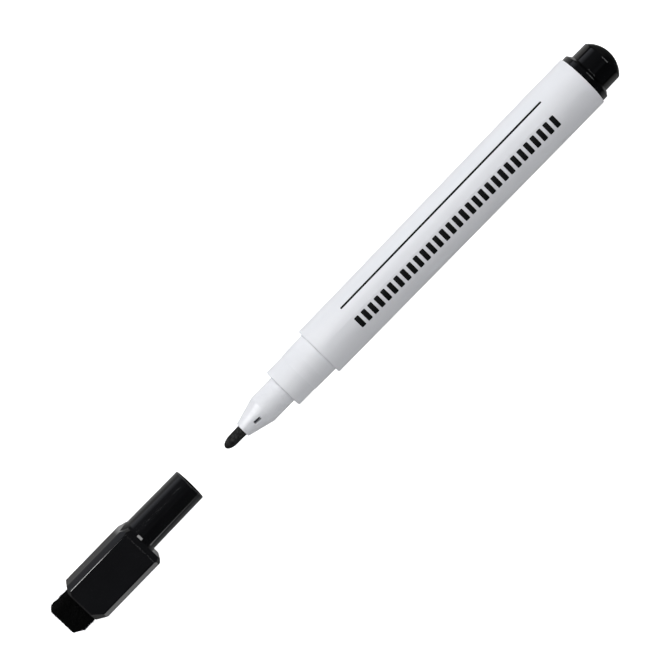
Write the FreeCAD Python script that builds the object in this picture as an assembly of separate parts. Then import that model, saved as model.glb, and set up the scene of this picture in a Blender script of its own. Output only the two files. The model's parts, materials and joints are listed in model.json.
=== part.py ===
import FreeCAD, Part
import math
import os

os.makedirs("parts", exist_ok=True)

# A slim dry-wipe marker with a friction cap that carries an eraser.  All sizes are in millimetres.
# The marker's axis is X.  The nib points to -X and the rear plug to +X.
# The origin is the centre of the barrel's rear rim.
# At rest the cap is off, in line with the marker and in front of the nib, with its mouth facing it.

# Barrel
barrel_length = 82.1
barrel_front_radius = 6.22
barrel_rear_radius = 6.60
grip_land_length = 9.0
barrel_edge_radius = 0.3
spigot_bore_radius = 4.95
spigot_length = 10.0
barrel_bore_radius = 5.4
barrel_rib_count = 4
barrel_rib_width = 0.9
barrel_rib_root = 0.3

# Front section: the collar, the straight nose that the cap grips, and the cone
collar_length = 11.2
collar_front_radius = 5.03
collar_middle_radius = 5.15
collar_rear_radius = 5.23
collar_front_band = 5.3
collar_middle_band = 2.9
collar_ramp = 0.5
collar_edge_radius = 0.35
nose_length = 6.2
nose_radius = 3.55
cone_length = 6.3
cone_front_radius = 1.85
cone_edge_radius = 0.15
nose_chamber_radius = 2.5
nose_wall = 1.4
collar_chamber_radius = 4.15

# Vents in the cone
vent_count = 2
vent_length = 1.75
vent_width = 0.8
vent_corner_radius = 0.15
vent_from_cone_front = 3.85
vent_turn = 18.0
vent_channel_depth = 0.45

# Nib
nib_reach = 5.4
nib_radius = 1.35
nib_shoulder_radius = 1.28
nib_dome_length = 2.4
nib_tail_radius = 1.2
nib_point_radius = 0.6
nib_in_reservoir = 10.0
nib_point_length = 2.0

# Ink reservoir and its film
reservoir_radius = 3.9
film_thickness = 0.1
reservoir_setback = 5.6

# Rear plug
flange_radius = 6.28
flange_rim_length = 1.4
flange_length = 2.0
flange_slope_radius = 5.5
flange_edge_radius = 0.2
dome_base_radius = 5.22
dome_shoulder_radius = 5.14
dome_shoulder_x = 6.3
dome_end_x = 8.65
dome_edge_radius = 0.6
dome_fillet_radius = 0.2
stem_length = 9.0
stem_lead_in = 0.6
plug_wall = 1.1
plug_rib_thickness = 0.9
plug_rib_reach = 2.0

# Cap shell
cap_gap = 11.0
skirt_length = 15.85
skirt_mouth_radius = 4.02
skirt_root_radius = 4.15
skirt_rim_radius = 0.12
cap_bore_clearance = 0.05
cap_bore_depth = 20.0
bead_depth = 6.85
bead_width = 0.5
bead_height = 0.16
housing_length = 19.2
housing_side = 11.1
housing_corner = 1.2
housing_offset = 1.22
housing_turn = 8.0

# Bevels round the housing's two ends: length along the axis, then height.  The flat faces are its top and bottom,
# the thin side is the one nearest the skirt's axis, and the thick side is opposite.
rear_flat_bevel = (0.35, 0.35)
rear_thin_bevel = (0.9, 1.3)
rear_thin_corner_bevel = (0.9, 1.0)
rear_thick_bevel = (2.5, 1.3)
rear_thick_corner_bevel = (2.2, 1.5)
front_flat_bevel = (1.35, 1.1)
front_thin_bevel = (1.8, 0.95)
front_thin_corner_bevel = (1.0, 0.95)
front_thick_bevel = (0.7, 0.7)
front_thick_corner_bevel = (1.0, 0.8)

shoulder_slope = 0.43
shoulder_reach = 0.55
shoulder_root_length = 3.6
long_edge_radius = 0.5
bevel_edge_radius = 0.15
shortest_bevel_edge = 0.9
core_floor = 1.0
core_radius = 2.6
core_offset = 0.6

# Seal cup inside the cap
seal_end_play = 0.1
seal_land_length = 1.95
seal_clearance = 0.05
seal_floor = 0.8

# Magnet
magnet_length = 8.4
magnet_width = 7.0
magnet_thickness = 1.4
magnet_play = 0.05
magnet_edge_radius = 0.2

# Eraser felt and its adhesive
felt_side = 8.1
felt_proud = 5.4
felt_depth = 6.0
felt_corner_radius = 1.2
felt_play = 0.05
adhesive_thickness = 0.3

# Stations along the axis that follow from the sizes above
barrel_front_x = -barrel_length
collar_front_x = barrel_front_x - collar_length
cone_rear_x = collar_front_x - nose_length
cone_front_x = cone_rear_x - cone_length
nib_tip_x = cone_front_x - nib_reach
reservoir_front_x = barrel_front_x - reservoir_setback
reservoir_rear_x = -stem_length - plug_rib_reach
mouth_x = nib_tip_x - cap_gap
housing_front_x = mouth_x - skirt_length
housing_rear_x = housing_front_x - housing_length
socket_floor_x = housing_rear_x + felt_depth + adhesive_thickness
cap_bore_radius = nose_radius + cap_bore_clearance
cap_bore_end_x = mouth_x - cap_bore_depth

along = FreeCAD.Vector(1, 0, 0)
centre = FreeCAD.Vector(0, 0, 0)
tiny = 0.001


def turned(outline, curves=()):
    """Turn an outline about the marker's axis: (x, radius) corners, closed by the curved edges if given."""
    corners = [FreeCAD.Vector(x, 0, radius) for x, radius in outline]
    if not curves:
        corners.append(corners[0])
    wire = Part.Wire(Part.makePolygon(corners).Edges + list(curves))
    return Part.Face(wire).revolve(centre, along, 360)


def rod(start_x, end_x, radius):
    """A cylinder about the marker's axis."""
    start = FreeCAD.Vector(start_x, 0, 0)
    return Part.makeCylinder(radius, end_x - start_x, start, along)


def block(low, high):
    """A box from its lowest corner to its highest."""
    size = [top - bottom for bottom, top in zip(low, high)]
    return Part.makeBox(*size, FreeCAD.Vector(*low))


def spun(shape, degrees):
    """A copy of the shape turned about the marker's axis."""
    copy = shape.copy()
    copy.rotate(centre, along, degrees)
    return copy


def rims(shape, places):
    """The circular edges of the shape that lie at the given (x, radius) places."""
    found = []
    for edge in shape.Edges:
        if edge.Degenerated or not isinstance(edge.Curve, Part.Circle):
            continue
        here = (edge.Curve.Center.x, edge.Curve.Radius)
        if any(math.dist(here, place) < tiny for place in places):
            found.append(edge)
    return found


def rounded(shape, radius, places):
    """Round the circular edges at the given (x, radius) places."""
    return shape.makeFillet(radius, rims(shape, places))


def save(shape, node):
    """Write one finished solid as the STEP file of its node."""
    solid = shape.Solids[0]
    assert len(shape.Solids) == 1 and solid.isValid(), node
    solid.exportStep(f"parts/{node}.step")


def barrel():
    """The tapered tube, with ribs that hold the reservoir away from its wall."""
    body = turned([
        (barrel_front_x, 0),
        (barrel_front_x, barrel_front_radius),
        (-grip_land_length, barrel_rear_radius),
        (0, barrel_rear_radius),
        (0, 0),
    ])
    body = rounded(body, barrel_edge_radius, [(barrel_front_x, barrel_front_radius)])
    spigot_end_x = barrel_front_x + spigot_length
    body = body.cut(rod(barrel_front_x, spigot_end_x, spigot_bore_radius))
    body = body.cut(rod(spigot_end_x, 0, barrel_bore_radius))
    hold_radius = reservoir_radius + film_thickness
    rib = block(
        (spigot_end_x, -barrel_rib_width / 2, hold_radius),
        (reservoir_rear_x, barrel_rib_width / 2, barrel_bore_radius + barrel_rib_root),
    )
    for number in range(barrel_rib_count):
        body = body.fuse(spun(rib, 360 / barrel_rib_count * (number + 0.5)))
    body = body.cut(rod(spigot_end_x, 0, hold_radius))
    return body.removeSplitter()


def front_section():
    """Collar, straight nose and cone in one moulding, with a spigot that plugs into the barrel."""
    middle_x = collar_front_x + collar_front_band
    rear_x = middle_x + collar_middle_band
    spigot_end_x = barrel_front_x + spigot_length
    body = turned([
        (cone_front_x, 0),
        (cone_front_x, cone_front_radius),
        (cone_rear_x, nose_radius),
        (collar_front_x, nose_radius),
        (collar_front_x, collar_front_radius),
        (middle_x - collar_ramp, collar_front_radius),
        (middle_x, collar_middle_radius),
        (rear_x - collar_ramp, collar_middle_radius),
        (rear_x, collar_rear_radius),
        (barrel_front_x, collar_rear_radius),
        (barrel_front_x, spigot_bore_radius),
        (spigot_end_x, spigot_bore_radius),
        (spigot_end_x, 0),
    ])
    body = rounded(body, collar_edge_radius, [(collar_front_x, collar_front_radius)])
    body = rounded(body, cone_edge_radius, [(cone_front_x, cone_front_radius)])
    chamber_front_x = cone_rear_x + nose_wall
    collar_chamber_x = collar_front_x + nose_wall
    body = body.cut(rod(cone_front_x, chamber_front_x, nib_radius))
    body = body.cut(rod(chamber_front_x, collar_chamber_x, nose_chamber_radius))
    body = body.cut(rod(collar_chamber_x, spigot_end_x, collar_chamber_radius))
    for number in range(vent_count):
        turn = vent_turn + 360 / vent_count * number
        body = body.cut(spun(vent(), turn))
        body = body.cut(spun(air_channel(chamber_front_x), turn))
    return body.removeSplitter()


def vent():
    """One slot through the cone's wall, with its four upright edges rounded."""
    middle_x = cone_front_x + vent_from_cone_front
    slot = block(
        (middle_x - vent_length / 2, -vent_width / 2, nib_radius / 2),
        (middle_x + vent_length / 2, vent_width / 2, nose_radius),
    )
    upright = [edge for edge in slot.Edges if abs(edge.Curve.Direction.z) > 1 - tiny]
    return slot.makeFillet(vent_corner_radius, upright)


def air_channel(end_x):
    """The groove beside the nib that leads air from a vent to the chamber behind it."""
    start_x = cone_front_x + vent_from_cone_front
    return block(
        (start_x, -vent_width / 2, nib_radius / 2),
        (end_x, vent_width / 2, nib_radius + vent_channel_depth),
    )


def nib():
    """A bullet nib with a thinner tail whose point reaches into the reservoir."""
    dome_x = nib_tip_x + nib_dome_length
    guide_end_x = cone_rear_x + nose_wall
    tail_end_x = reservoir_front_x + nib_in_reservoir
    tip = FreeCAD.Vector(nib_tip_x, 0, 0)
    shoulder = FreeCAD.Vector(dome_x, 0, nib_shoulder_radius)
    ellipse = Part.Ellipse(tip, shoulder, FreeCAD.Vector(dome_x, 0, 0))
    dome = Part.ArcOfEllipse(ellipse, 0, math.pi / 2).toShape()
    outline = [
        (dome_x, nib_shoulder_radius),
        (cone_front_x, nib_radius),
        (guide_end_x, nib_radius),
        (guide_end_x, nib_tail_radius),
        (tail_end_x - nib_point_length, nib_tail_radius),
        (tail_end_x, nib_point_radius),
        (tail_end_x, 0),
        (nib_tip_x, 0),
    ]
    return turned(outline, [dome])


def ink_reservoir():
    """The fibre rod that holds the ink, with the hole that the nib's tail has pushed into it."""
    rod_of_fibre = rod(reservoir_front_x, reservoir_rear_x, reservoir_radius)
    hole_end_x = reservoir_front_x + nib_in_reservoir
    hole = turned([
        (reservoir_front_x, 0),
        (reservoir_front_x, nib_tail_radius),
        (hole_end_x - nib_point_length, nib_tail_radius),
        (hole_end_x, nib_point_radius),
        (hole_end_x, 0),
    ])
    return rod_of_fibre.cut(hole)


def reservoir_film():
    """The plastic film wrapped round the reservoir, open at both ends."""
    wrap = rod(reservoir_front_x, reservoir_rear_x, reservoir_radius + film_thickness)
    return wrap.cut(rod(reservoir_front_x, reservoir_rear_x, reservoir_radius))


def rear_plug():
    """The plug that closes the barrel: flange, crowned end and a hollow stem with crossed ribs."""
    rise = dome_end_x - dome_shoulder_x
    crown_radius = (dome_shoulder_radius ** 2 + rise ** 2) / (2 * rise)
    half_angle = math.asin(dome_shoulder_radius / crown_radius) / 2
    crown = Part.Arc(
        FreeCAD.Vector(dome_shoulder_x, 0, dome_shoulder_radius),
        FreeCAD.Vector(
            dome_end_x - crown_radius * (1 - math.cos(half_angle)),
            0,
            crown_radius * math.sin(half_angle),
        ),
        FreeCAD.Vector(dome_end_x, 0, 0),
    )
    outline = [
        (dome_end_x, 0),
        (-stem_length, 0),
        (-stem_length, barrel_bore_radius - stem_lead_in / 2),
        (-stem_length + stem_lead_in, barrel_bore_radius),
        (0, barrel_bore_radius),
        (0, flange_radius),
        (flange_rim_length, flange_radius),
        (flange_length, flange_slope_radius),
        (flange_length, dome_base_radius),
        (dome_shoulder_x, dome_shoulder_radius),
    ]
    body = turned(outline, [crown.toShape()])
    body = rounded(body, dome_edge_radius, [(dome_shoulder_x, dome_shoulder_radius)])
    body = rounded(body, flange_edge_radius, [(flange_rim_length, flange_radius)])
    body = rounded(body, dome_fillet_radius, [(flange_length, dome_base_radius)])
    body = body.cut(rod(-stem_length, dome_shoulder_x - plug_wall, barrel_bore_radius - plug_wall))
    for turn in (0, 90):
        body = body.fuse(spun(plug_rib(), turn))
    return body.removeSplitter()


def plug_rib():
    """One of the crossed ribs inside the plug that the reservoir's rear end rests on."""
    reach = barrel_bore_radius - plug_wall / 2
    inside = block(
        (-stem_length, -reach, -plug_rib_thickness / 2),
        (dome_shoulder_x - plug_wall / 2, reach, plug_rib_thickness / 2),
    )
    stop = block(
        (reservoir_rear_x, -reservoir_radius, -plug_rib_thickness / 2),
        (-stem_length, reservoir_radius, plug_rib_thickness / 2),
    )
    return inside.fuse(stop)


def housing_prism(start_x, end_x):
    """A straight stretch of the housing's section: a square with its corners cut off."""
    half = housing_side / 2
    short = half - housing_corner
    outline = []
    for quarter in range(4):
        angle = math.radians(90 * quarter)
        for across, up in ((half, -short), (half, short)):
            y = across * math.cos(angle) - up * math.sin(angle) - housing_offset
            z = across * math.sin(angle) + up * math.cos(angle)
            outline.append(FreeCAD.Vector(start_x, y, z))
    face = Part.Face(Part.makePolygon(outline + outline[:1]))
    return face.extrude(FreeCAD.Vector(end_x - start_x, 0, 0))


def bevel_tool(side, end_x, bevel):
    """The wedge that bevels one of the housing's eight sides, counted from the thin one, at one end."""
    length, height = bevel
    corner_reach = (housing_side - housing_corner) / math.sqrt(2)
    reach = corner_reach if side % 2 else housing_side / 2
    inwards = math.copysign(length, housing_front_x - end_x - tiny)
    slope = FreeCAD.Vector(inwards, height, 0)
    bevel_foot = FreeCAD.Vector(end_x, reach - height, -housing_side)
    low = bevel_foot - slope
    high = bevel_foot + slope + slope
    outside = FreeCAD.Vector(low.x - inwards, high.y + height, -housing_side)
    end_face = Part.Face(Part.makePolygon([low, high, outside, low]))
    wedge = end_face.extrude(FreeCAD.Vector(0, 0, 2 * housing_side))
    wedge.rotate(centre, along, 45 * side)
    wedge.translate(FreeCAD.Vector(0, -housing_offset, 0))
    return wedge


def round_the_sides(thin, thin_corner, flat, thick_corner, thick):
    """The bevels of one end in the order of the housing's eight sides, counted from the thin one."""
    return [thin, thin_corner, flat, thick_corner, thick, thick_corner, flat, thin_corner]


def housing():
    """The outside of the housing, solid, with both ends bevelled and its edges softened."""
    rear = round_the_sides(
        rear_thin_bevel, rear_thin_corner_bevel, rear_flat_bevel, rear_thick_corner_bevel, rear_thick_bevel
    )
    front = round_the_sides(
        front_thin_bevel, front_thin_corner_bevel, front_flat_bevel, front_thick_corner_bevel, front_thick_bevel
    )
    body = housing_prism(housing_rear_x, housing_front_x)
    for side in range(8):
        body = body.cut(bevel_tool(side, housing_rear_x, rear[side]))
        body = body.cut(bevel_tool(side, housing_front_x, front[side]))
    return soften(body)


def lengthwise(shape):
    """The straight edges of the shape that run along the marker's axis."""
    straight = [edge for edge in shape.Edges if isinstance(edge.Curve, Part.Line)]
    return [edge for edge in straight if abs(edge.Curve.Direction.x) > 1 - tiny]


def soften(body):
    """Round the housing's long edges, then the shorter straight ones around its bevels."""
    body = body.makeFillet(long_edge_radius, lengthwise(body))
    straight = [edge for edge in body.Edges if isinstance(edge.Curve, Part.Line)]
    bevel_edges = [edge for edge in straight if shortest_bevel_edge < edge.Length < housing_length / 2]
    return body.makeFillet(bevel_edge_radius, bevel_edges)


def shoulder():
    """The cone that leads from the housing down to the skirt, kept within the housing's sides."""
    start_x = housing_front_x - shoulder_root_length
    tip_x = housing_front_x + shoulder_reach
    cone = turned([
        (start_x, 0),
        (start_x, skirt_root_radius + shoulder_slope * (tip_x - start_x)),
        (tip_x, skirt_root_radius),
        (tip_x, 0),
    ])
    sides = housing_prism(start_x, tip_x)
    return cone.common(sides.makeFillet(long_edge_radius, lengthwise(sides)))


def felt_prism(start_x, end_x, side):
    """A square prism with rounded corners, centred on the housing's middle."""
    half = side / 2
    prism = block(
        (start_x, -half - housing_offset, -half),
        (end_x, half - housing_offset, half),
    )
    return prism.makeFillet(felt_corner_radius, lengthwise(prism))


def magnet_block(play):
    """The magnet's shape, or its pocket when play is given.  It lies along the thick side wall."""
    outer_y = -housing_offset - felt_side / 2
    return block(
        (socket_floor_x - play, outer_y - play, -magnet_width / 2 - play),
        (socket_floor_x + magnet_length + play, outer_y + magnet_thickness + play, magnet_width / 2 + play),
    )


def cap_shell():
    """Housing and skirt in one moulding, bored for the nose, with an eraser socket and a magnet pocket."""
    body = housing()
    skirt = turned([
        (housing_front_x - core_floor, 0),
        (housing_front_x - core_floor, skirt_root_radius),
        (housing_front_x, skirt_root_radius),
        (mouth_x, skirt_mouth_radius),
        (mouth_x, 0),
    ])
    skirt = rounded(skirt, skirt_rim_radius, [(mouth_x, skirt_mouth_radius)])
    body = body.fuse([skirt, shoulder()]).removeSplitter()
    bead_front_x = mouth_x - bead_depth
    bead_rear_x = bead_front_x - bead_width
    bead_radius = cap_bore_radius - bead_height
    bore = rod(cap_bore_end_x, mouth_x, cap_bore_radius)
    bead = rod(bead_rear_x, bead_front_x, cap_bore_radius).cut(rod(bead_rear_x, bead_front_x, bead_radius))
    body = body.cut(bore.cut(bead))
    socket = felt_prism(housing_rear_x, socket_floor_x, felt_side + 2 * felt_play)
    body = body.cut(socket)
    body = body.cut(magnet_block(magnet_play))
    core_axis = FreeCAD.Vector(socket_floor_x, -core_offset, 0)
    core_length = cap_bore_end_x - core_floor - socket_floor_x
    body = body.cut(Part.makeCylinder(core_radius, core_length, core_axis, along))
    return spun(body, housing_turn)


def inner_seal():
    """The soft cup in the cap that closes on the cone and keeps the nib from drying."""
    mouth_end_x = mouth_x - bead_depth - bead_width - seal_end_play
    floor_end_x = cap_bore_end_x + seal_end_play
    land_end_x = mouth_end_x - seal_land_length
    seated_shift = collar_front_x - cap_bore_clearance - mouth_x
    slope = (nose_radius - cone_front_radius) / cone_length

    def land_radius(x):
        return nose_radius - slope * (cone_rear_x - seated_shift - x) + seal_clearance

    return turned([
        (floor_end_x, 0),
        (floor_end_x, nose_radius),
        (mouth_end_x, nose_radius),
        (mouth_end_x, land_radius(mouth_end_x)),
        (land_end_x, land_radius(land_end_x)),
        (floor_end_x + seal_floor, land_radius(land_end_x)),
        (floor_end_x + seal_floor, 0),
    ])


def magnet():
    """A block magnet with softened edges."""
    body = magnet_block(0)
    return spun(body.makeFillet(magnet_edge_radius, body.Edges), housing_turn)


def eraser_felt():
    """The felt block, half in its socket and half standing proud."""
    return spun(felt_prism(housing_rear_x - felt_proud, housing_rear_x + felt_depth, felt_side), housing_turn)


def felt_adhesive():
    """The adhesive pad between the felt and the floor of its socket."""
    return spun(felt_prism(housing_rear_x + felt_depth, socket_floor_x, felt_side), housing_turn)


for make in (
    barrel,
    front_section,
    nib,
    ink_reservoir,
    reservoir_film,
    rear_plug,
    cap_shell,
    inner_seal,
    magnet,
    eraser_felt,
    felt_adhesive,
):
    save(make(), make.__name__)
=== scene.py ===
import json
import math
import random

import bmesh
import bpy
from mathutils import Matrix, Vector, noise

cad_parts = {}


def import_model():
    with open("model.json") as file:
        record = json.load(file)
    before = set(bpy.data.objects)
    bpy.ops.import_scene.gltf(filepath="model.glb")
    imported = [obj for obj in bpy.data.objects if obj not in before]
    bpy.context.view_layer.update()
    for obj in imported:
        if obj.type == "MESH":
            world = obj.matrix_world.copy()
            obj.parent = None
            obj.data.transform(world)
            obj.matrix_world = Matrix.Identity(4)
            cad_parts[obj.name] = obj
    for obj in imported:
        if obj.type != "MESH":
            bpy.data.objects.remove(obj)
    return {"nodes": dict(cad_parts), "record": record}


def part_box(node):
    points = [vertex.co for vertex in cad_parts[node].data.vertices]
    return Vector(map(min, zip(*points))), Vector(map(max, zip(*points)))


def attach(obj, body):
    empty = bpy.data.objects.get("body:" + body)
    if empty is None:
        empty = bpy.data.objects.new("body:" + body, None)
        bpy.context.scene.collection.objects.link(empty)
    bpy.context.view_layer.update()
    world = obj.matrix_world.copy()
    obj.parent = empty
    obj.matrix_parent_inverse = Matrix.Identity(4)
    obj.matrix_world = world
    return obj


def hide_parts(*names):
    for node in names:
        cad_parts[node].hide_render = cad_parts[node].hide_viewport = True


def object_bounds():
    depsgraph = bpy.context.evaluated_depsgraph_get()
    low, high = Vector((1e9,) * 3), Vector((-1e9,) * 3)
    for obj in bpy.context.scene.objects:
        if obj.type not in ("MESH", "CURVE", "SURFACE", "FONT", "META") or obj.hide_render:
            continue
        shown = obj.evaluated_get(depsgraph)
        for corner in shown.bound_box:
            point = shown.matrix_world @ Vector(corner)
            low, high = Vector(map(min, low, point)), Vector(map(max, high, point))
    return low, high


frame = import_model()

cad_low, cad_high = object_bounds()
MM = 0.001

# ---------------------------------------------------------------------------
# Places taken from the frame
# ---------------------------------------------------------------------------
barrel_low, barrel_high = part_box("barrel")
felt_low, felt_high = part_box("eraser_felt")
shell_low, shell_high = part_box("cap_shell")
mounts = {mount["name"]: mount for mount in frame["record"]["mounts"]}
magnet_normal = Vector(mounts["magnet_face"]["axis"])
cap_turn = math.atan2(-magnet_normal.z, -magnet_normal.y)


# ---------------------------------------------------------------------------
# Materials
# ---------------------------------------------------------------------------
class Nodes:
    """A material's node tree with short calls for adding and joining nodes."""

    def __init__(self, name):
        self.material = bpy.data.materials.new(name)
        self.material.use_nodes = True
        self.tree = self.material.node_tree
        self.shader = next(n for n in self.tree.nodes if n.type == "BSDF_PRINCIPLED")
        self.position = self.add("ShaderNodeTexCoord").outputs["Object"]

    def add(self, kind, **values):
        node = self.tree.nodes.new(kind)
        for key, value in values.items():
            setattr(node, key, value)
        return node

    def link(self, source, target):
        self.tree.links.new(source, target)

    def stretched(self, scale):
        """The object position in metres, scaled by a different amount along each axis."""
        mapping = self.add("ShaderNodeMapping")
        mapping.inputs["Scale"].default_value = scale
        self.link(self.position, mapping.inputs["Vector"])
        return mapping.outputs["Vector"]

    def noise(self, scale, detail=3.0, rough=0.5, vector=None):
        node = self.add("ShaderNodeTexNoise")
        node.inputs["Scale"].default_value = scale
        node.inputs["Detail"].default_value = detail
        node.inputs["Roughness"].default_value = rough
        self.link(vector or self.position, node.inputs["Vector"])
        return node.outputs["Fac"]

    def ramp(self, source, stops):
        node = self.add("ShaderNodeValToRGB")
        while len(node.color_ramp.elements) < len(stops):
            node.color_ramp.elements.new(0.5)
        for element, (place, colour) in zip(node.color_ramp.elements, stops):
            element.position = place
            element.color = (*colour, 1.0)
        self.link(source, node.inputs["Fac"])
        return node.outputs["Color"]

    def span(self, source, low, high, start=0.3, end=0.7):
        """The source's start..end mapped to low..high, held at the ends."""
        node = self.add("ShaderNodeMapRange")
        node.inputs["From Min"].default_value = start
        node.inputs["From Max"].default_value = end
        node.inputs["To Min"].default_value = low
        node.inputs["To Max"].default_value = high
        self.link(source, node.inputs["Value"])
        return node.outputs["Result"]

    def mix(self, share, first, second, blend="MIX"):
        node = self.add("ShaderNodeMix", data_type="RGBA", blend_type=blend)
        for socket, value in ((node.inputs[0], share), (node.inputs[6], first), (node.inputs[7], second)):
            if isinstance(value, bpy.types.NodeSocket):
                self.link(value, socket)
            elif isinstance(value, tuple):
                socket.default_value = (*value, 1.0)
            else:
                socket.default_value = value
        return node.outputs[2]

    def edge_mask(self, radius, start, end):
        """1 on sharp edges and 0 on flat ground, from how far a rounded normal leans away."""
        bevel = self.add("ShaderNodeBevel", samples=6)
        bevel.inputs["Radius"].default_value = radius
        geometry = self.add("ShaderNodeNewGeometry")
        dot = self.add("ShaderNodeVectorMath", operation="DOT_PRODUCT")
        self.link(bevel.outputs["Normal"], dot.inputs[0])
        self.link(geometry.outputs["Normal"], dot.inputs[1])
        return self.span(dot.outputs["Value"], 1.0, 0.0, start, end)

    def bump(self, height, distance, strength=1.0, normal=None):
        node = self.add("ShaderNodeBump")
        node.inputs["Distance"].default_value = distance
        node.inputs["Strength"].default_value = strength
        self.link(height, node.inputs["Height"])
        if normal is not None:
            self.link(normal, node.inputs["Normal"])
        return node.outputs["Normal"]

    def set(self, **values):
        names = {
            "colour": "Base Color", "roughness": "Roughness", "normal": "Normal", "metallic": "Metallic",
            "sheen": "Sheen Weight", "sheen_roughness": "Sheen Roughness", "sheen_tint": "Sheen Tint",
            "specular": "Specular IOR Level", "subsurface": "Subsurface Weight",
            "subsurface_radius": "Subsurface Radius", "subsurface_scale": "Subsurface Scale",
        }
        for key, value in values.items():
            socket = self.shader.inputs[names[key]]
            if isinstance(value, bpy.types.NodeSocket):
                self.link(value, socket)
            elif isinstance(value, tuple) and len(value) == 3 and socket.type == "RGBA":
                socket.default_value = (*value, 1.0)
            else:
                socket.default_value = value
        return self.material


COLLAR_LENGTH = 11.2 * MM
COLLAR_EDGE = 0.3 * MM
COLLAR_ROUGH = (0.46, 0.54)
CONE_ROUGH = (0.24, 0.32)
FRONT_SPECULAR = 0.38


def white_plastic(name, collar_front=None):
    """Cool white moulded plastic, satin. With a collar, it is smoother before it and duller on it."""
    m = Nodes(name)
    flow = m.noise(1.0, 4.0, 0.55, m.stretched((60, 260, 260)))
    cloud = m.noise(140.0, 2.0)
    body = m.ramp(flow, [(0.25, (0.735, 0.745, 0.775)), (0.75, (0.775, 0.785, 0.81))])
    body = m.mix(m.span(cloud, 0.0, 0.12), body, (0.72, 0.725, 0.74))
    # Painted highlight: every sharp edge is lightened in colour, as though it caught the light.
    edge = m.edge_mask(0.12 * MM, 0.86, 0.995)
    body = m.mix(m.span(edge, 0.0, 0.35, 0.0, 1.0), body, (0.84, 0.845, 0.86))
    grain = m.noise(9000.0, 2.0)
    peel = m.noise(1500.0, 2.0)
    skin = m.noise(420.0, 3.0)
    rough = m.span(skin, 0.30, 0.42)
    specular = 0.5
    if collar_front is not None:
        specular = FRONT_SPECULAR
        split = m.add("ShaderNodeSeparateXYZ")
        m.link(m.position, split.inputs[0])
        on_collar = m.span(split.outputs["X"], 0.0, 1.0, collar_front - COLLAR_EDGE, collar_front)
        rough = m.mix(on_collar, m.span(skin, *CONE_ROUGH), m.span(skin, *COLLAR_ROUGH))
    normal = m.bump(peel, 0.012 * MM, 0.5)
    normal = m.bump(grain, 0.002 * MM, 0.4, normal)
    return m.set(colour=body, roughness=rough, normal=normal, specular=specular, subsurface=0.08,
                 subsurface_radius=(1.0, 1.0, 1.0), subsurface_scale=0.6 * MM)


def black_plastic(name, low, high):
    """Glossy black moulded plastic with fine hairline scratches and slightly greyed edges."""
    m = Nodes(name)
    cloud = m.noise(260.0, 3.0)
    body = m.ramp(cloud, [(0.3, low), (0.7, high)])
    edge = m.edge_mask(0.10 * MM, 0.80, 0.99)
    worn = m.noise(1400.0, 3.0)
    body = m.mix(m.mix(1.0, edge, worn, "MULTIPLY"), body, (0.02, 0.02, 0.022))
    hair = m.noise(1.0, 2.0, 0.6, m.stretched((220, 5200, 5200)))
    rough = m.span(m.noise(700.0, 4.0), 0.03, 0.06)
    scratch = m.span(hair, 0.0, 0.10, 0.62, 0.72)
    added = m.add("ShaderNodeMath", operation="ADD")
    m.link(rough, added.inputs[0])
    m.link(scratch, added.inputs[1])
    peel = m.noise(1100.0, 2.0)
    normal = m.bump(peel, 0.006 * MM, 0.04)
    normal = m.bump(hair, 0.0012 * MM, 0.25, normal)
    return m.set(colour=body, roughness=added.outputs[0], normal=normal, specular=0.5)


def nib_fibre():
    """Ink-soaked fibre: matte black with fine grain along the nib."""
    m = Nodes("nib_fibre")
    strand = m.noise(1.0, 4.0, 0.65, m.stretched((500, 9000, 9000)))
    blotch = m.noise(1500.0, 4.0, 0.6)
    body = m.ramp(strand, [(0.35, (0.001, 0.001, 0.001)), (0.68, (0.036, 0.036, 0.034))])
    body = m.mix(m.span(blotch, 0.0, 0.95, 0.44, 0.56), body, (0.002, 0.002, 0.002))
    rough = m.span(blotch, 0.62, 0.85)
    normal = m.bump(strand, 0.05 * MM, 0.9)
    return m.set(colour=body, roughness=rough, normal=normal, specular=0.2)


def felt(name, low, high):
    """Matte black pressed felt with a soft sheen from its loose fibres."""
    m = Nodes(name)
    tangle = m.noise(5200.0, 5.0, 0.7)
    blotch = m.noise(900.0, 3.0)
    body = m.ramp(tangle, [(0.3, low), (0.75, high)])
    body = m.mix(m.span(blotch, 0.0, 0.4), body, low)
    normal = m.bump(tangle, 0.06 * MM, 0.9)
    return m.set(colour=body, roughness=0.95, normal=normal, specular=0.04, sheen=0.03,
                 sheen_roughness=0.5, sheen_tint=(0.5, 0.5, 0.5))


def printed_ink():
    """Screen-printed black ink, a little uneven in cover and gloss."""
    m = Nodes("printed_ink")
    cover = m.noise(2600.0, 4.0)
    body = m.ramp(cover, [(0.3, (0.0012, 0.0012, 0.0014)), (0.75, (0.0035, 0.0035, 0.0040))])
    rough = m.span(m.noise(1500.0, 3.0), 0.35, 0.5)
    return m.set(colour=body, roughness=rough, normal=m.bump(cover, 0.002 * MM, 0.5), specular=0.22)


def soft_plastic(name, low, high):
    """A matte moulded plastic or fibre that is hardly seen."""
    m = Nodes(name)
    cloud = m.noise(800.0, 3.0)
    body = m.ramp(cloud, [(0.3, low), (0.7, high)])
    return m.set(colour=body, roughness=m.span(cloud, 0.5, 0.7), normal=m.bump(cloud, 0.01 * MM, 0.5))


def ferrite():
    """Dark sintered magnet with a grainy, slightly metallic face."""
    m = Nodes("magnet_ferrite")
    grain = m.noise(6000.0, 4.0)
    body = m.ramp(grain, [(0.3, (0.03, 0.03, 0.033)), (0.7, (0.07, 0.07, 0.075))])
    return m.set(colour=body, metallic=0.6, roughness=0.5, normal=m.bump(grain, 0.01 * MM, 0.7))


def dress(node, material):
    """Give a CAD node its finished material in place of the one it came with."""
    mesh = frame["nodes"][node].data
    mesh.materials.clear()
    mesh.materials.append(material)


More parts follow.
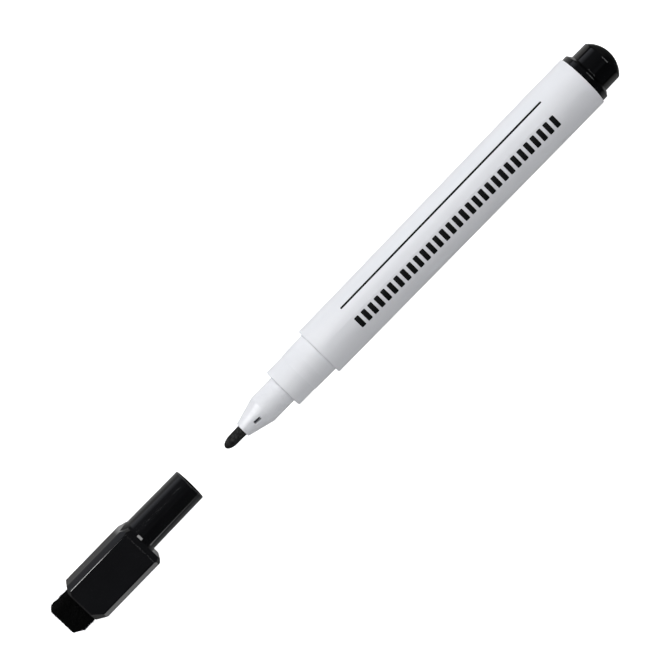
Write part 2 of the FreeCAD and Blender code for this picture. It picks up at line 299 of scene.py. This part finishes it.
white = white_plastic("white_plastic")
white_front = white_plastic("white_plastic_front", barrel_low.x - COLLAR_LENGTH)
black = black_plastic("black_plastic", (0.0022, 0.0022, 0.0026), (0.0034, 0.0034, 0.0040))
black_plug = black_plastic("black_plastic_plug", (0.0007, 0.0007, 0.0009), (0.0012, 0.0012, 0.0015))
dress("barrel", white)
dress("front_section", white_front)
dress("rear_plug", black_plug)
dress("cap_shell", black)
dress("nib", nib_fibre())
dress("ink_reservoir", felt("reservoir_fibre", (0.010, 0.010, 0.012), (0.03, 0.03, 0.034)))
dress("reservoir_film", soft_plastic("clear_film", (0.70, 0.70, 0.72), (0.80, 0.80, 0.82)))
dress("inner_seal", soft_plastic("seal_plastic", (0.010, 0.010, 0.011), (0.02, 0.02, 0.022)))
dress("felt_adhesive", soft_plastic("adhesive", (0.55, 0.50, 0.38), (0.66, 0.61, 0.48)))
dress("magnet", ferrite())


# ---------------------------------------------------------------------------
# Printed marks on the barrel
# ---------------------------------------------------------------------------
PRINT_MARGIN = 10.0 * MM
BAND_ARC = 2.0 * MM
BAND_HEIGHT = 3.0 * MM
BAND_RINGS = 6
BAR_WIDTH = 1.2 * MM
BAR_STEP = 2.0 * MM
BAR_CORNER = 0.22 * MM
LINE_ARC = -3.4 * MM
LINE_HEIGHT = 0.5 * MM
LINE_CORNER = 0.2 * MM
LINE_RINGS = 3
CORNER_STEPS = 5
OUTLINE_SPACING = 0.25 * MM
INK_LIFT = 0.015 * MM
INK_THICKNESS = 0.012 * MM
ink = printed_ink()
print_radius = barrel_high.z
print_start = barrel_low.x + PRINT_MARGIN
print_length = barrel_high.x - barrel_low.x - 2 * PRINT_MARGIN


def new_piece(name, bm, material, body):
    """Turn a bmesh into a named piece that rides on a body."""
    mesh = bpy.data.meshes.new(name)
    bm.to_mesh(mesh)
    bm.free()
    mesh.materials.append(material)
    piece = bpy.data.objects.new(name, mesh)
    bpy.context.scene.collection.objects.link(piece)
    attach(piece, body)
    return piece


def rounded_outline(width, height, corner):
    """Points round a corner-rounded rectangle about the origin, close enough to bend round the barrel."""
    corners = []
    half_w, half_h = width / 2 - corner, height / 2 - corner
    for number, (side_x, side_y) in enumerate(((1, 1), (-1, 1), (-1, -1), (1, -1))):
        for step in range(CORNER_STEPS + 1):
            angle = math.radians(90 * (number + step / CORNER_STEPS))
            x = side_x * half_w + corner * math.cos(angle)
            y = side_y * half_h + corner * math.sin(angle)
            corners.append(Vector((x, y)))
    points = []
    for start, end in zip(corners, corners[1:] + corners[:1]):
        parts = max(1, math.ceil((end - start).length / OUTLINE_SPACING))
        points += [start.lerp(end, part / parts) for part in range(parts)]
    return points


def add_mark(bm, centre_x, centre_arc, outline, rings):
    """Lay one outline on the barrel: x runs along it, and arc runs round it from the top."""
    def place(x, arc):
        angle = arc / print_radius
        return Vector((x, -print_radius * math.sin(angle), print_radius * math.cos(angle)))

    middle = bm.verts.new(place(centre_x, centre_arc))
    inner = None
    for ring in range(1, rings + 1):
        share = ring / rings
        outer = [bm.verts.new(place(centre_x + x * share, centre_arc - y * share)) for x, y in outline]
        for index in range(len(outer)):
            after = (index + 1) % len(outer)
            if inner is None:
                bm.faces.new((middle, outer[index], outer[after]))
            else:
                bm.faces.new((inner[index], outer[index], outer[after], inner[after]))
        inner = outer


def cling(piece, target):
    """Lay the sheet on the target's surface and give it the thickness of a coat of ink."""
    wrap = piece.modifiers.new("cling", "SHRINKWRAP")
    wrap.target = target
    wrap.wrap_method = "NEAREST_SURFACEPOINT"
    wrap.wrap_mode = "ABOVE_SURFACE"
    wrap.offset = INK_LIFT
    solid = piece.modifiers.new("coat", "SOLIDIFY")
    solid.thickness = INK_THICKNESS
    solid.offset = -1.0
    depsgraph = bpy.context.evaluated_depsgraph_get()
    finished = bpy.data.meshes.new_from_object(piece.evaluated_get(depsgraph))
    piece.modifiers.clear()
    piece.data = finished


def bar_band():
    """A plain printed band: upright bars, all alike and evenly spaced over the printed length."""
    bm = bmesh.new()
    outline = rounded_outline(BAR_WIDTH, BAND_HEIGHT, BAR_CORNER)
    count = round(print_length / BAR_STEP)
    for number in range(count):
        x = print_start + print_length * (number + 0.5) / count
        add_mark(bm, x, BAND_ARC, outline, BAND_RINGS)
    piece = new_piece("print_bar_band", bm, ink, "marker")
    cling(piece, frame["nodes"]["barrel"])


def thin_line():
    """One thin unbroken line beside the band, as long as the band."""
    bm = bmesh.new()
    outline = rounded_outline(print_length, LINE_HEIGHT, LINE_CORNER)
    add_mark(bm, print_start + print_length / 2, LINE_ARC, outline, LINE_RINGS)
    piece = new_piece("print_thin_line", bm, ink, "marker")
    cling(piece, frame["nodes"]["barrel"])


bar_band()
thin_line()

# ---------------------------------------------------------------------------
# Eraser felt
# ---------------------------------------------------------------------------
FELT_CORNER = 1.2 * MM
FELT_END_ROUND = 0.15 * MM
END_LUMPS = 0.4
FELT_PROUD = 5.4 * MM
FELT_CUTS = 79
WORN_LENGTH = 1.9 * MM
WORN_HEIGHT = 1.7 * MM
LUMP_OFFSET = Vector((9.1, 3.3, 6.2))
FIBRE_SEED = 11
FIBRE_COUNT = 8000
FIBRE_THICKNESS = 0.026 * MM
FIBRE_LENGTHS = (0.12 * MM, 0.45 * MM)
FIBRE_STEPS = 4


def rounded_block(point, reach, corner, end_round):
    """Move a point of the cube -1..1 onto a block with rounded long edges and softened ends."""
    x, y, z = (value * size for value, size in zip(point, reach))
    core_x = reach[0] - end_round
    core = reach[1] - corner
    out_y = y - max(-core, min(core, y))
    out_z = z - max(-core, min(core, z))
    span = math.hypot(out_y, out_z)
    if span > corner:
        out_y, out_z = out_y * corner / span, out_z * corner / span
    near_end = max(0.0, abs(x) - core_x) / end_round
    draw = end_round * (1 - math.sqrt(max(0.0, 1 - near_end ** 2)))
    y, z = y - (y - max(-core, min(core, y))) + out_y, z - (z - max(-core, min(core, z))) + out_z
    shrink = 1 - draw / reach[1]
    return Vector((x, y * shrink, z * shrink))


def worn(point, length):
    """Press the outer corner on the -Y side inwards, as wiping wears it away."""
    from_end = point.x + length / 2
    from_side = point.y + felt_half
    over = 1 - from_end / WORN_LENGTH - from_side / WORN_HEIGHT
    if over <= 0:
        return Vector((0, 0, 0))
    inwards = Vector((1 / WORN_LENGTH, 1 / WORN_HEIGHT, 0))
    return inwards * over / inwards.length_squared


felt_lean = math.cos(cap_turn) + math.sin(abs(cap_turn))
felt_half = ((felt_high.y - felt_low.y) / 2 - FELT_CORNER) / felt_lean + FELT_CORNER
felt_length = felt_high.x - felt_low.x
felt_middle = (felt_low + felt_high) / 2
felt_place = Matrix.Translation(felt_middle) @ Matrix.Rotation(cap_turn, 4, "X")


def felt_form():
    """The felt block, dense, worn at one corner, lumpy where it stands proud of the cap."""
    bm = bmesh.new()
    bmesh.ops.create_cube(bm, size=2.0)
    bmesh.ops.subdivide_edges(bm, edges=bm.edges[:], cuts=FELT_CUTS, use_grid_fill=True)
    for vert in bm.verts:
        vert.co = rounded_block(vert.co, (felt_length / 2, felt_half, felt_half), FELT_CORNER, FELT_END_ROUND)
        vert.co += worn(vert.co, felt_length)
    bm.normal_update()
    for vert in bm.verts:
        from_end = vert.co.x + felt_length / 2
        proud = max(0.0, min(1.0, (FELT_PROUD - from_end) / (0.6 * MM)))
        lump = noise.fractal(vert.co * 620 + LUMP_OFFSET, 0.7, 2.2, 4) * 0.20 * MM
        pit = noise.fractal(vert.co * 2600, 0.6, 2.0, 3) * 0.16 * MM
        evenness = END_LUMPS if from_end < FELT_END_ROUND else 1.0
        vert.co += vert.normal * (lump + pit) * proud * evenness
    bm.normal_update()
    return bm


def fibre(bm, root, heading, normal, length, chance):
    """One loose fibre: a thin three-sided thread that leaves the surface, bends and comes back near it."""
    side = heading.cross(normal).normalized()
    bend = chance.uniform(-0.9, 0.9)
    rings = []
    for step in range(FIBRE_STEPS + 1):
        share = step / FIBRE_STEPS
        lift = normal * length * (0.32 * math.sin(math.pi * min(1.0, share * 1.1)) + 0.02)
        sway = side * length * bend * share * share * 0.5
        centre = root + heading * length * share + lift + sway
        width = FIBRE_THICKNESS * (1 - 0.6 * share)
        ring = []
        for corner in range(3):
            angle = math.radians(120 * corner)
            outwards = normal * math.cos(angle) + side * math.sin(angle)
            ring.append(bm.verts.new(centre + outwards * width / 2))
        rings.append(ring)
    for before, after in zip(rings, rings[1:]):
        for corner in range(3):
            follow = (corner + 1) % 3
            bm.faces.new((before[corner], before[follow], after[follow], after[corner]))
    bm.faces.new(rings[-1])


def felt_pieces():
    """The felt block and the loose fibres that stand off its worn faces."""
    chance = random.Random(FIBRE_SEED)
    block = felt_form()
    faces = [face for face in block.faces if face.calc_center_median().x < FELT_PROUD - felt_length / 2]
    sizes = [face.calc_area() for face in faces]
    fuzz = bmesh.new()
    for face in chance.choices(faces, sizes, k=FIBRE_COUNT):
        corners = [vert.co for vert in face.verts]
        root = corners[0].lerp(corners[1], chance.random()).lerp(corners[-1], chance.random())
        normal = face.normal
        heading = Vector((chance.gauss(0, 1), chance.gauss(0, 1), chance.gauss(0, 1)))
        heading = (heading - normal * heading.dot(normal) * 0.75).normalized()
        if heading.dot(normal) < 0:
            heading = (heading - 2 * normal * heading.dot(normal)).normalized()
        fibre(fuzz, root, heading, normal, chance.uniform(*FIBRE_LENGTHS), chance)
    material = felt("black_felt", (0.0004, 0.0004, 0.0004), (0.0022, 0.0022, 0.0021))
    for name, bm in (("eraser_felt_block", block), ("eraser_felt_fibres", fuzz)):
        bm.transform(felt_place)
        piece = new_piece(name, bm, material, "cap")
        piece.data.shade_smooth()
        if name == "eraser_felt_block":
            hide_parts("eraser_felt")


felt_pieces()

# ---------------------------------------------------------------------------
# Stage, lights and camera
# ---------------------------------------------------------------------------
CAMERA_ROLL = math.radians(45.8)
CAMERA_HEIGHT = 0.72
VISIBLE_WIDTH = 0.1456
FLOOR_CLEARANCE = 1.0 * MM
FLOOR_GLOW = 0.95
FLOOR_REACH = 0.1
# Painted reflections: how brightly the floor glows in reflections, by its distance from the axis in mm, dark
# close beside the cap's housing as painted shade. One list is for beside the cap's housing, the other for
# beside everything past the housing's shoulder as far as the plug's end.
HOUSING_FLOOR = [(-70, 0.80), (-38, 0.72), (-24, 0.13), (-8, 0.07), (8, 0.06), (22, 0.18), (45, 0.25),
                 (90, 0.3)]
MARKER_FLOOR = [(-70, 0.19), (-20, 0.33), (-12, 0.26), (-6, 0.20), (6, 0.5), (13, 0.68), (20, 0.58),
                (65, 0.36)]
HOUSING_FLOOR_STRENGTH = 2.4
# Where one gives way to the other, back from the cap's mouth, and where the second dims, past the plug's end.
SHOULDER_CHANGE = (20 * MM, 18.5 * MM)
PLUG_END_CHANGE = (3 * MM, 6 * MM)
PLUG_END_STRENGTH = 0.12
# How bright the room is, by the Y part of the direction looked in.
STUDIO = [(-1.0, 0.05), (-0.38, 0.035), (-0.27, 0.11), (0.0, 0.05), (0.30, 0.09), (0.85, 0.12), (0.955, 0.5),
          (1.0, 0.8)]
STUDIO_TINT = (0.96, 1.0, 1.10)
middle_x = (cad_low.x + cad_high.x) / 2
here = Vector((middle_x, 0, 0))


def card(name, heading, distance, size, power, glossy=True, diffuse=True):
    """An unseen soft light at a heading from the middle of the row, facing it, with its first side along X."""
    data = bpy.data.lights.new(name, "AREA")
    data.shape = "RECTANGLE"
    data.size, data.size_y = size
    data.energy = power
    light = bpy.data.objects.new(name, data)
    light.location = here + Vector(heading).normalized() * distance
    away = (light.location - here).normalized()
    across = (Vector((1, 0, 0)) - away * away.x).normalized()
    light.rotation_euler = Matrix((across, away.cross(across), away)).transposed().to_euler()
    light.visible_camera = False
    light.visible_glossy = glossy
    light.visible_diffuse = diffuse
    bpy.context.scene.collection.objects.link(light)
    return light


def floor_stops(levels):
    """Grey colour ramp stops from brightness levels across the floor."""
    return [((y * MM / FLOOR_REACH + 1) / 2, (level,) * 3) for y, level in levels]


def floor():
    """A pale floor: white to the eye and a lit matte surface to the object. In reflections it glows instead
    with painted light, with painted shade near the object.
    """
    bm = bmesh.new()
    bmesh.ops.create_grid(bm, x_segments=1, y_segments=1, size=3.0)
    mesh = bpy.data.meshes.new("floor")
    bm.to_mesh(mesh)
    bm.free()
    plane = bpy.data.objects.new("floor", mesh)
    plane.location = (0, 0, shell_low.y - FLOOR_CLEARANCE)
    bpy.context.scene.collection.objects.link(plane)
    m = Nodes("floor_white")
    speck = m.noise(900.0, 3.0)
    pale = m.ramp(speck, [(0.3, (0.74, 0.74, 0.75)), (0.7, (0.77, 0.77, 0.78))])
    m.set(colour=pale, roughness=0.9, specular=0.1)
    to_eye = m.add("ShaderNodeEmission")
    to_eye.inputs["Strength"].default_value = FLOOR_GLOW
    lit = m.add("ShaderNodeAddShader")
    m.link(m.shader.outputs["BSDF"], lit.inputs[0])
    m.link(to_eye.outputs["Emission"], lit.inputs[1])
    split = m.add("ShaderNodeSeparateXYZ")
    m.link(m.position, split.inputs[0])
    place = m.span(split.outputs["Y"], 0.0, 1.0, -FLOOR_REACH, FLOOR_REACH)
    beside_housing = m.add("ShaderNodeEmission")
    m.link(m.ramp(place, floor_stops(HOUSING_FLOOR)), beside_housing.inputs["Color"])
    beside_housing.inputs["Strength"].default_value = HOUSING_FLOOR_STRENGTH
    beside_marker = m.add("ShaderNodeEmission")
    m.link(m.ramp(place, floor_stops(MARKER_FLOOR)), beside_marker.inputs["Color"])
    start, end = (cad_high.x + reach for reach in PLUG_END_CHANGE)
    strength = m.span(split.outputs["X"], 1.0, PLUG_END_STRENGTH, start, end)
    m.link(strength, beside_marker.inputs["Strength"])
    start, end = (shell_high.x - reach for reach in SHOULDER_CHANGE)
    past_shoulder = m.span(split.outputs["X"], 0.0, 1.0, start, end)
    mirrored = m.add("ShaderNodeMixShader")
    m.link(past_shoulder, mirrored.inputs["Fac"])
    m.link(beside_housing.outputs["Emission"], mirrored.inputs[1])
    m.link(beside_marker.outputs["Emission"], mirrored.inputs[2])
    path = m.add("ShaderNodeLightPath")
    seen = m.add("ShaderNodeMixShader")
    m.link(path.outputs["Is Camera Ray"], seen.inputs["Fac"])
    m.link(m.shader.outputs["BSDF"], seen.inputs[1])
    m.link(lit.outputs["Shader"], seen.inputs[2])
    final = m.add("ShaderNodeMixShader")
    m.link(path.outputs["Is Glossy Ray"], final.inputs["Fac"])
    m.link(seen.outputs["Shader"], final.inputs[1])
    m.link(mirrored.outputs["Shader"], final.inputs[2])
    output = next(n for n in m.tree.nodes if n.type == "OUTPUT_MATERIAL")
    m.link(final.outputs["Shader"], output.inputs["Surface"])
    mesh.materials.append(m.material)


def world():
    """The room: white to the eye. To the object it is dim overhead, with a pale wall on the +Y side."""
    room = bpy.data.worlds.new("studio")
    bpy.context.scene.world = room
    room.use_nodes = True
    tree = room.node_tree
    back = tree.nodes["Background"]
    heading = tree.nodes.new("ShaderNodeTexCoord")
    split = tree.nodes.new("ShaderNodeSeparateXYZ")
    spread = tree.nodes.new("ShaderNodeMapRange")
    spread.inputs["From Min"].default_value = -1.0
    ramp = tree.nodes.new("ShaderNodeValToRGB")
    while len(ramp.color_ramp.elements) < len(STUDIO):
        ramp.color_ramp.elements.new(0.5)
    for element, (place, level) in zip(ramp.color_ramp.elements, STUDIO):
        element.position = (place + 1) / 2
        element.color = (*(level * part for part in STUDIO_TINT), 1.0)
    path = tree.nodes.new("ShaderNodeLightPath")
    pick = tree.nodes.new("ShaderNodeMix")
    pick.data_type = "RGBA"
    pick.inputs[7].default_value = (1.0, 1.0, 1.0, 1.0)
    tree.links.new(heading.outputs["Generated"], split.inputs[0])
    tree.links.new(split.outputs["Y"], spread.inputs["Value"])
    tree.links.new(spread.outputs["Result"], ramp.inputs["Fac"])
    tree.links.new(path.outputs["Is Camera Ray"], pick.inputs[0])
    tree.links.new(ramp.outputs["Color"], pick.inputs[6])
    tree.links.new(pick.outputs[2], back.inputs["Color"])


def camera():
    """Above the middle of the row, looking straight down, rolled so that its axis climbs to the right."""
    above = here + Vector((0, 0, CAMERA_HEIGHT))
    data = bpy.data.cameras.new("camera")
    data.sensor_width = 36.0
    data.lens = data.sensor_width * CAMERA_HEIGHT / VISIBLE_WIDTH
    data.clip_start, data.clip_end = 0.01, 20.0
    view = bpy.data.objects.new("camera", data)
    view.location = above
    forward = (here - above).normalized()
    up = Vector((math.sin(CAMERA_ROLL), math.cos(CAMERA_ROLL), 0))
    up = (up - forward * up.dot(forward)).normalized()
    right = forward.cross(up)
    turn = Matrix((right, up, -forward)).transposed()
    view.rotation_euler = turn.to_euler()
    bpy.context.scene.collection.objects.link(view)
    bpy.context.scene.camera = view


card("key", (0, 0.80, 0.60), 1.0, (0.5, 0.5), 6.5, glossy=False)
card("overhead", (0, 0.1, 1.0), 1.0, (0.9, 0.9), 4.45, glossy=False)
card("low_fill", (0, -0.96, 0.22), 1.0, (1.0, 0.4), 2.55, glossy=False)
card("far_end", (0.60, -0.13, 0.80), 1.0, (0.16, 0.60), 1.9, diffuse=False)
card("window", (-0.36, 0.46, 0.84), 1.0, (0.40, 0.36), 9.0, diffuse=False)
card("window_low", (-0.57, 0.70, 0.43), 1.0, (0.25, 0.25), 3.6, diffuse=False)
floor()
world()
camera()
bpy.context.scene.view_settings.view_transform = "Standard"
